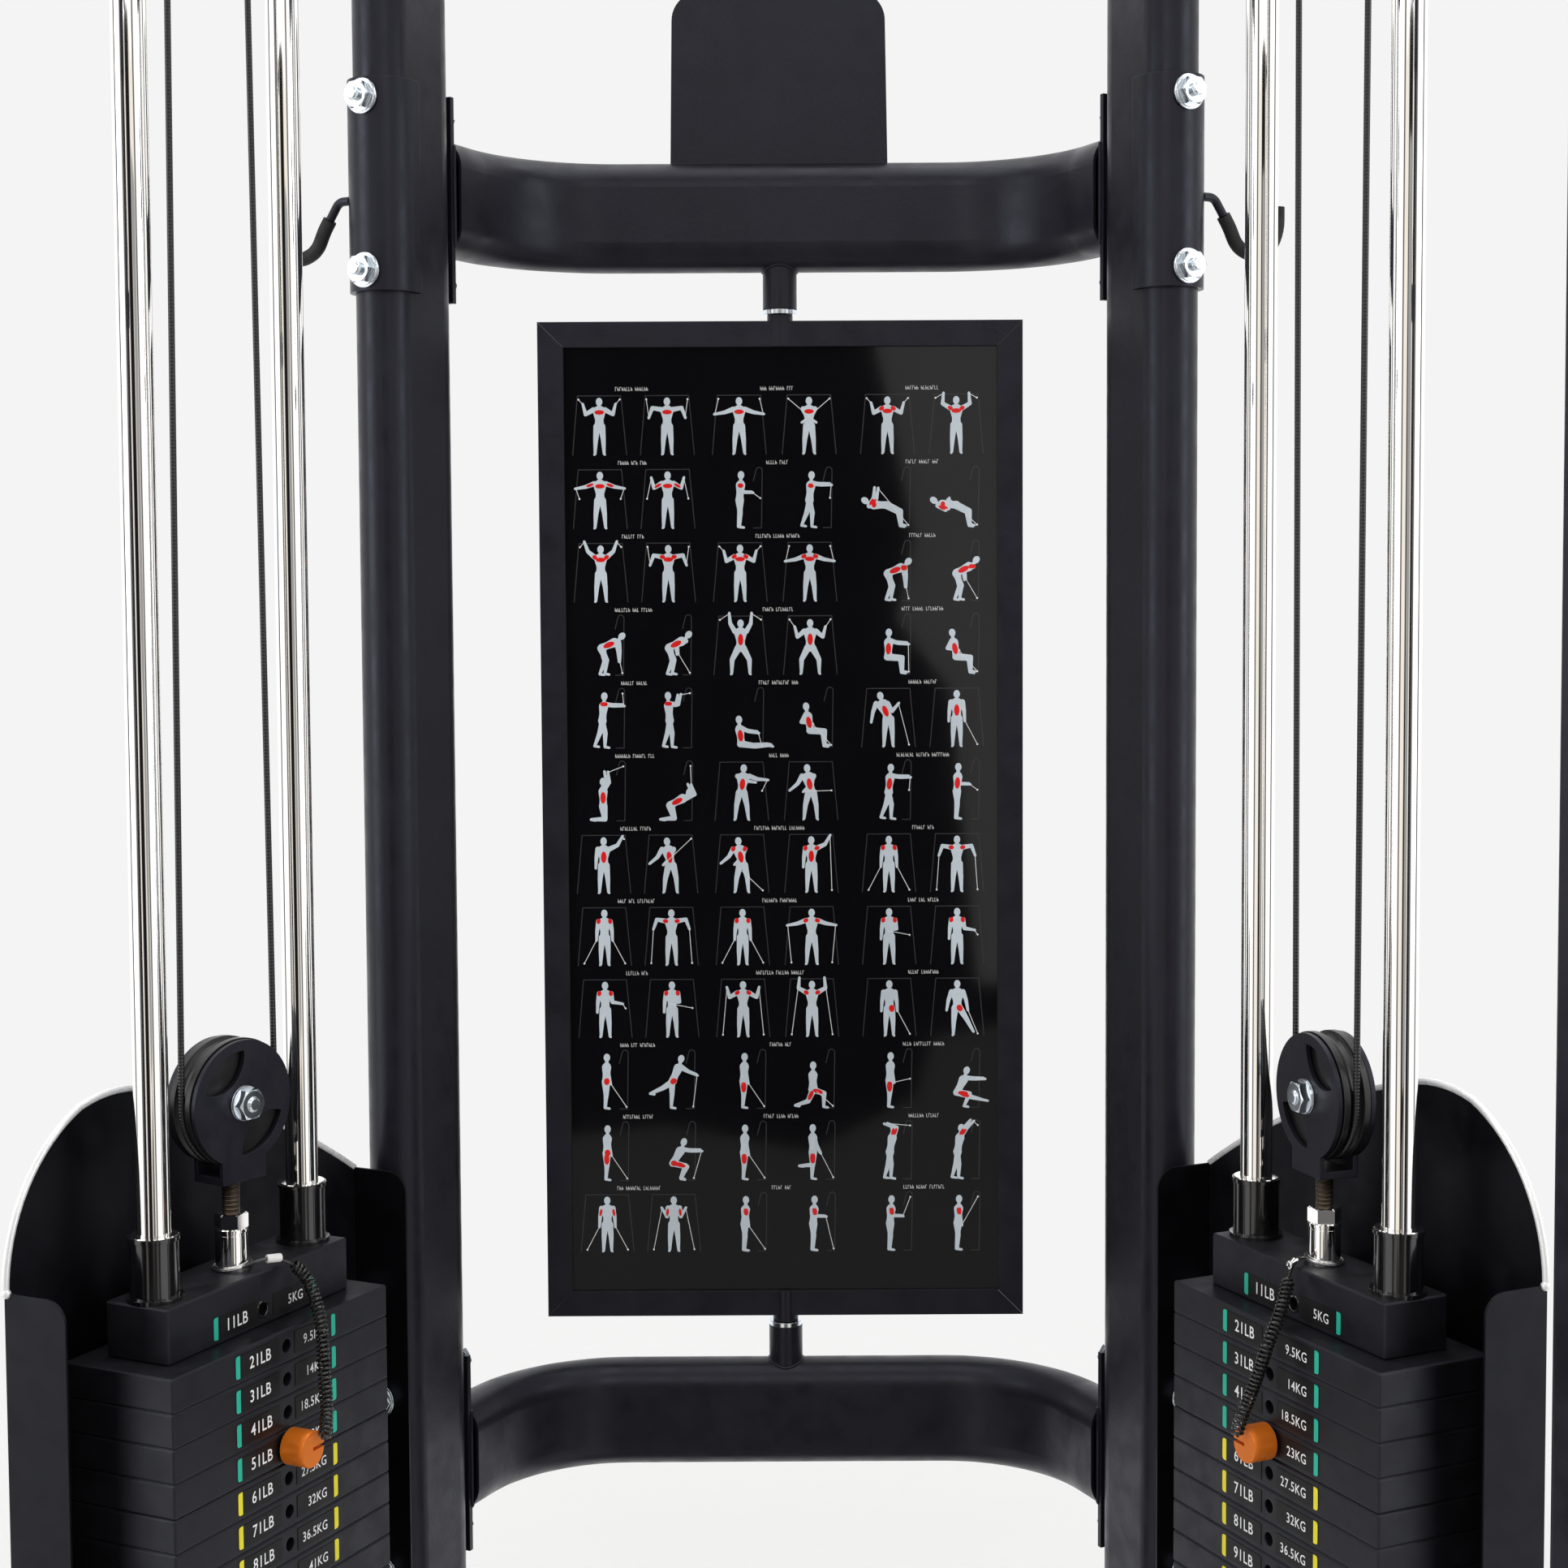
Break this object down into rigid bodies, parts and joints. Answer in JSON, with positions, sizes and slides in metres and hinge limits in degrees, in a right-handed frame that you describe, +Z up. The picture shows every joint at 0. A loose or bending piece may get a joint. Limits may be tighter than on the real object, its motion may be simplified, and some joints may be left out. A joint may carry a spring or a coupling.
{
  "type": "cable crossover machine",
  "caption": "Free-standing cable crossover with splayed sides, weight stacks, sliding pulley carriages, hanging handles, a pull-up bar and a swivelling exercise chart.",
  "frame": {"origin": "floor level, at the middle of the machine's footprint", "axes": "+Z up, +Y to the back where the chart hangs, +X to the right for a user facing the chart"},
  "size_m": [1.442, 0.9849, 2.0999],
  "materials": {
    "powder_coat": "satin black powder coat",
    "rubber": "matte moulded rubber",
    "sheet_black": "semi-gloss black sheet",
    "plate_black": "matte black, fine grain",
    "chrome": "polished chrome",
    "gloss_black": "gloss black",
    "chart_acrylic": "gloss black acrylic",
    "zinc": "bright zinc plate",
    "cable_coat": "black nylon coat over steel cable",
    "orange_anodised": "orange anodised",
    "webbing": "black nylon webbing",
    "nylon_black": "black nylon"
  },
  "bodies": {
    "root": {"base_frame": "powder_coat", "carriage_cables_left": "cable_coat", "carriage_cables_right": "cable_coat", "fixed_cables": "cable_coat", "foot_pads": "rubber", "frame_bolts": "zinc", "front_columns": "powder_coat", "guide_rods": "chrome", "hook_sleeves": "rubber", "lift_cables_left": "cable_coat", "lift_cables_right": "cable_coat", "lower_crossbar": "powder_coat", "lower_stacks": "plate_black", "pulley_housings": "powder_coat", "pullup_bar": "powder_coat", "rear_uprights": "powder_coat", "shrouds": "sheet_black", "stack_bumpers": "rubber", "upper_crossbar": "powder_coat", "upright_saddles": "powder_coat"},
    "placard": {"placard_frame": "powder_coat", "chart_board": "chart_acrylic"},
    "stack_left": {"head_plate_left": "plate_black", "selected_plates_left": "plate_black", "guide_collars_left": "gloss_black", "selector_stem_left": "chrome", "travelling_bracket_left": "powder_coat", "lanyard_left": "cable_coat"},
    "selector_pin_left": {"selector_pin_left": "orange_anodised"},
    "travelling_wheel_left": {"travelling_wheel_left": "nylon_black"},
    "carriage_left": {"carriage_left": "powder_coat"},
    "pull_pin_left": {"pull_pin_left": "gloss_black"},
    "swivel_left": {"swivel_bracket_left": "powder_coat"},
    "swivel_wheel_left": {"swivel_wheel_left": "nylon_black"},
    "cable_end_left": {"cable_end_left": "rubber"},
    "handle_left": {"handle_left": "webbing"},
    "roof_wheel_near_left": {"roof_wheel_near_left": "nylon_black"},
    "column_wheel_rear_left": {"column_wheel_rear_left": "nylon_black"},
    "foot_wheel_left": {"foot_wheel_left": "nylon_black"},
    "roof_wheel_far_left": {"roof_wheel_far_left": "nylon_black"},
    "column_wheel_front_left": {"column_wheel_front_left": "nylon_black"},
    "stack_right": {"head_plate_right": "plate_black", "selected_plates_right": "plate_black", "guide_collars_right": "gloss_black", "selector_stem_right": "chrome", "travelling_bracket_right": "powder_coat", "lanyard_right": "cable_coat"},
    "selector_pin_right": {"selector_pin_right": "orange_anodised"},
    "travelling_wheel_right": {"travelling_wheel_right": "nylon_black"},
    "carriage_right": {"carriage_right": "powder_coat"},
    "pull_pin_right": {"pull_pin_right": "gloss_black"},
    "swivel_right": {"swivel_bracket_right": "powder_coat"},
    "swivel_wheel_right": {"swivel_wheel_right": "nylon_black"},
    "cable_end_right": {"cable_end_right": "rubber"},
    "handle_right": {"handle_right": "webbing"},
    "roof_wheel_near_right": {"roof_wheel_near_right": "nylon_black"},
    "column_wheel_rear_right": {"column_wheel_rear_right": "nylon_black"},
    "foot_wheel_right": {"foot_wheel_right": "nylon_black"},
    "roof_wheel_far_right": {"roof_wheel_far_right": "nylon_black"},
    "column_wheel_front_right": {"column_wheel_front_right": "nylon_black"}
  },
  "joints": [
    {"name": "placard_swivel", "type": "hinge", "parent": "root", "child": "placard", "pos_m": [0, 0.468, 0.951], "axis": [0, 0, 1], "continuous": true},
    {"name": "stack_lift_left", "type": "slide", "parent": "root", "child": "stack_left", "axis": [0, 0, 1], "range_m": [0, 0.65], "deforming": ["lift_cables_left"]},
    {"name": "travelling_spin_left", "type": "hinge", "parent": "stack_left", "child": "travelling_wheel_left", "pos_m": [-0.41813, -0.00467, 0.785], "axis": [-0.8281, 0.5606, 0], "continuous": true},
    {"name": "pin_pull_left", "type": "slide", "parent": "stack_left", "child": "selector_pin_left", "axis": [0.9056, -0.4242, 0], "range_m": [0, 0.11], "deforming": ["lanyard_left"]},
    {"name": "carriage_slide_left", "type": "slide", "parent": "root", "child": "carriage_left", "axis": [0, 0, 1], "range_m": [-1.08, 0.06], "deforming": ["carriage_cables_left"]},
    {"name": "pull_pin_left_travel", "type": "slide", "parent": "carriage_left", "child": "pull_pin_left", "axis": [-0.9056, 0.4242, 0], "range_m": [0, 0.012]},
    {"name": "swivel_turn_left", "type": "hinge", "parent": "carriage_left", "child": "swivel_left", "pos_m": [-0.57011, -0.32439, 1.65], "axis": [0, 0, 1], "range_deg": [-60, 60]},
    {"name": "swivel_wheel_spin_left", "type": "hinge", "parent": "swivel_left", "child": "swivel_wheel_left", "pos_m": [-0.58369, -0.35337, 1.65], "axis": [-0.9056, 0.4242, 0], "continuous": true},
    {"name": "handle_pull_left", "type": "slide", "parent": "swivel_left", "child": "cable_end_left", "axis": [0, 0, -1], "range_m": [0, 1.3]},
    {"name": "handle_swing_left", "type": "hinge", "parent": "cable_end_left", "child": "handle_left", "pos_m": [-0.59726, -0.38234, 1.552], "axis": [-0.9056, 0.4242, 0], "range_deg": [-10, 45]},
    {"name": "roof_wheel_near_spin_left", "type": "hinge", "parent": "root", "child": "roof_wheel_near_left", "pos_m": [-0.45473, -0.07807, 1.892], "axis": [-0.9056, 0.4242, 0], "continuous": true},
    {"name": "column_wheel_rear_spin_left", "type": "hinge", "parent": "root", "child": "column_wheel_rear_left", "pos_m": [-0.51072, -0.19761, 1.892], "axis": [-0.9056, 0.4242, 0], "continuous": true},
    {"name": "foot_wheel_spin_left", "type": "hinge", "parent": "root", "child": "foot_wheel_left", "pos_m": [-0.54932, -0.28002, 0.148], "axis": [-0.9056, 0.4242, 0], "continuous": true},
    {"name": "roof_wheel_far_spin_left", "type": "hinge", "parent": "root", "child": "roof_wheel_far_left", "pos_m": [-0.41825, -0.00019, 1.942], "axis": [-0.9056, 0.4242, 0], "continuous": true},
    {"name": "column_wheel_front_spin_left", "type": "hinge", "parent": "root", "child": "column_wheel_front_left", "pos_m": [-0.55229, -0.28636, 1.942], "axis": [-0.9056, 0.4242, 0], "continuous": true},
    {"name": "stack_lift_right", "type": "slide", "parent": "root", "child": "stack_right", "axis": [0, 0, 1], "range_m": [0, 0.65], "deforming": ["lift_cables_right"]},
    {"name": "travelling_spin_right", "type": "hinge", "parent": "stack_right", "child": "travelling_wheel_right", "pos_m": [0.41813, -0.00467, 0.785], "axis": [-0.9558, -0.294, 0], "continuous": true},
    {"name": "pin_pull_right", "type": "slide", "parent": "stack_right", "child": "selector_pin_right", "axis": [-0.9056, -0.4242, 0], "range_m": [0, 0.11], "deforming": ["lanyard_right"]},
    {"name": "carriage_slide_right", "type": "slide", "parent": "root", "child": "carriage_right", "axis": [0, 0, 1], "range_m": [-1.08, 0.06], "deforming": ["carriage_cables_right"]},
    {"name": "pull_pin_right_travel", "type": "slide", "parent": "carriage_right", "child": "pull_pin_right", "axis": [0.9056, 0.4242, 0], "range_m": [0, 0.012]},
    {"name": "swivel_turn_right", "type": "hinge", "parent": "carriage_right", "child": "swivel_right", "pos_m": [0.57011, -0.32439, 1.65], "axis": [0, 0, 1], "range_deg": [-60, 60]},
    {"name": "swivel_wheel_spin_right", "type": "hinge", "parent": "swivel_right", "child": "swivel_wheel_right", "pos_m": [0.58369, -0.35337, 1.65], "axis": [-0.9056, -0.4242, 0], "continuous": true},
    {"name": "handle_pull_right", "type": "slide", "parent": "swivel_right", "child": "cable_end_right", "axis": [0, 0, -1], "range_m": [0, 1.3]},
    {"name": "handle_swing_right", "type": "hinge", "parent": "cable_end_right", "child": "handle_right", "pos_m": [0.59726, -0.38234, 1.552], "axis": [-0.9056, -0.4242, 0], "range_deg": [-10, 45]},
    {"name": "roof_wheel_near_spin_right", "type": "hinge", "parent": "root", "child": "roof_wheel_near_right", "pos_m": [0.45473, -0.07807, 1.892], "axis": [-0.9056, -0.4242, 0], "continuous": true},
    {"name": "column_wheel_rear_spin_right", "type": "hinge", "parent": "root", "child": "column_wheel_rear_right", "pos_m": [0.51072, -0.19761, 1.892], "axis": [-0.9056, -0.4242, 0], "continuous": true},
    {"name": "foot_wheel_spin_right", "type": "hinge", "parent": "root", "child": "foot_wheel_right", "pos_m": [0.54932, -0.28002, 0.148], "axis": [-0.9056, -0.4242, 0], "continuous": true},
    {"name": "roof_wheel_far_spin_right", "type": "hinge", "parent": "root", "child": "roof_wheel_far_right", "pos_m": [0.41825, -0.00019, 1.942], "axis": [-0.9056, -0.4242, 0], "continuous": true},
    {"name": "column_wheel_front_spin_right", "type": "hinge", "parent": "root", "child": "column_wheel_front_right", "pos_m": [0.55229, -0.28636, 1.942], "axis": [-0.9056, -0.4242, 0], "continuous": true}
  ],
  "couplings": [
    {"joint": "travelling_spin_left", "follows": "stack_lift_left", "rad_per_m": 21.505},
    {"joint": "swivel_wheel_spin_left", "follows": "stack_lift_left", "rad_per_m": -62.5},
    {"joint": "handle_pull_left", "follows": "stack_lift_left", "ratio": 2},
    {"joint": "roof_wheel_near_spin_left", "follows": "stack_lift_left", "rad_per_m": -47.619},
    {"joint": "column_wheel_rear_spin_left", "follows": "stack_lift_left", "rad_per_m": -47.619},
    {"joint": "foot_wheel_spin_left", "follows": "stack_lift_left", "rad_per_m": 40.816},
    {"joint": "roof_wheel_far_spin_left", "follows": "carriage_slide_left", "rad_per_m": 23.809},
    {"joint": "column_wheel_front_spin_left", "follows": "carriage_slide_left", "rad_per_m": 23.809},
    {"joint": "travelling_spin_right", "follows": "stack_lift_right", "rad_per_m": 21.505},
    {"joint": "swivel_wheel_spin_right", "follows": "stack_lift_right", "rad_per_m": -62.5},
    {"joint": "handle_pull_right", "follows": "stack_lift_right", "ratio": 2},
    {"joint": "roof_wheel_near_spin_right", "follows": "stack_lift_right", "rad_per_m": -47.619},
    {"joint": "column_wheel_rear_spin_right", "follows": "stack_lift_right", "rad_per_m": -47.619},
    {"joint": "foot_wheel_spin_right", "follows": "stack_lift_right", "rad_per_m": 40.816},
    {"joint": "roof_wheel_far_spin_right", "follows": "carriage_slide_right", "rad_per_m": 23.809},
    {"joint": "column_wheel_front_spin_right", "follows": "carriage_slide_right", "rad_per_m": 23.809}
  ]
}
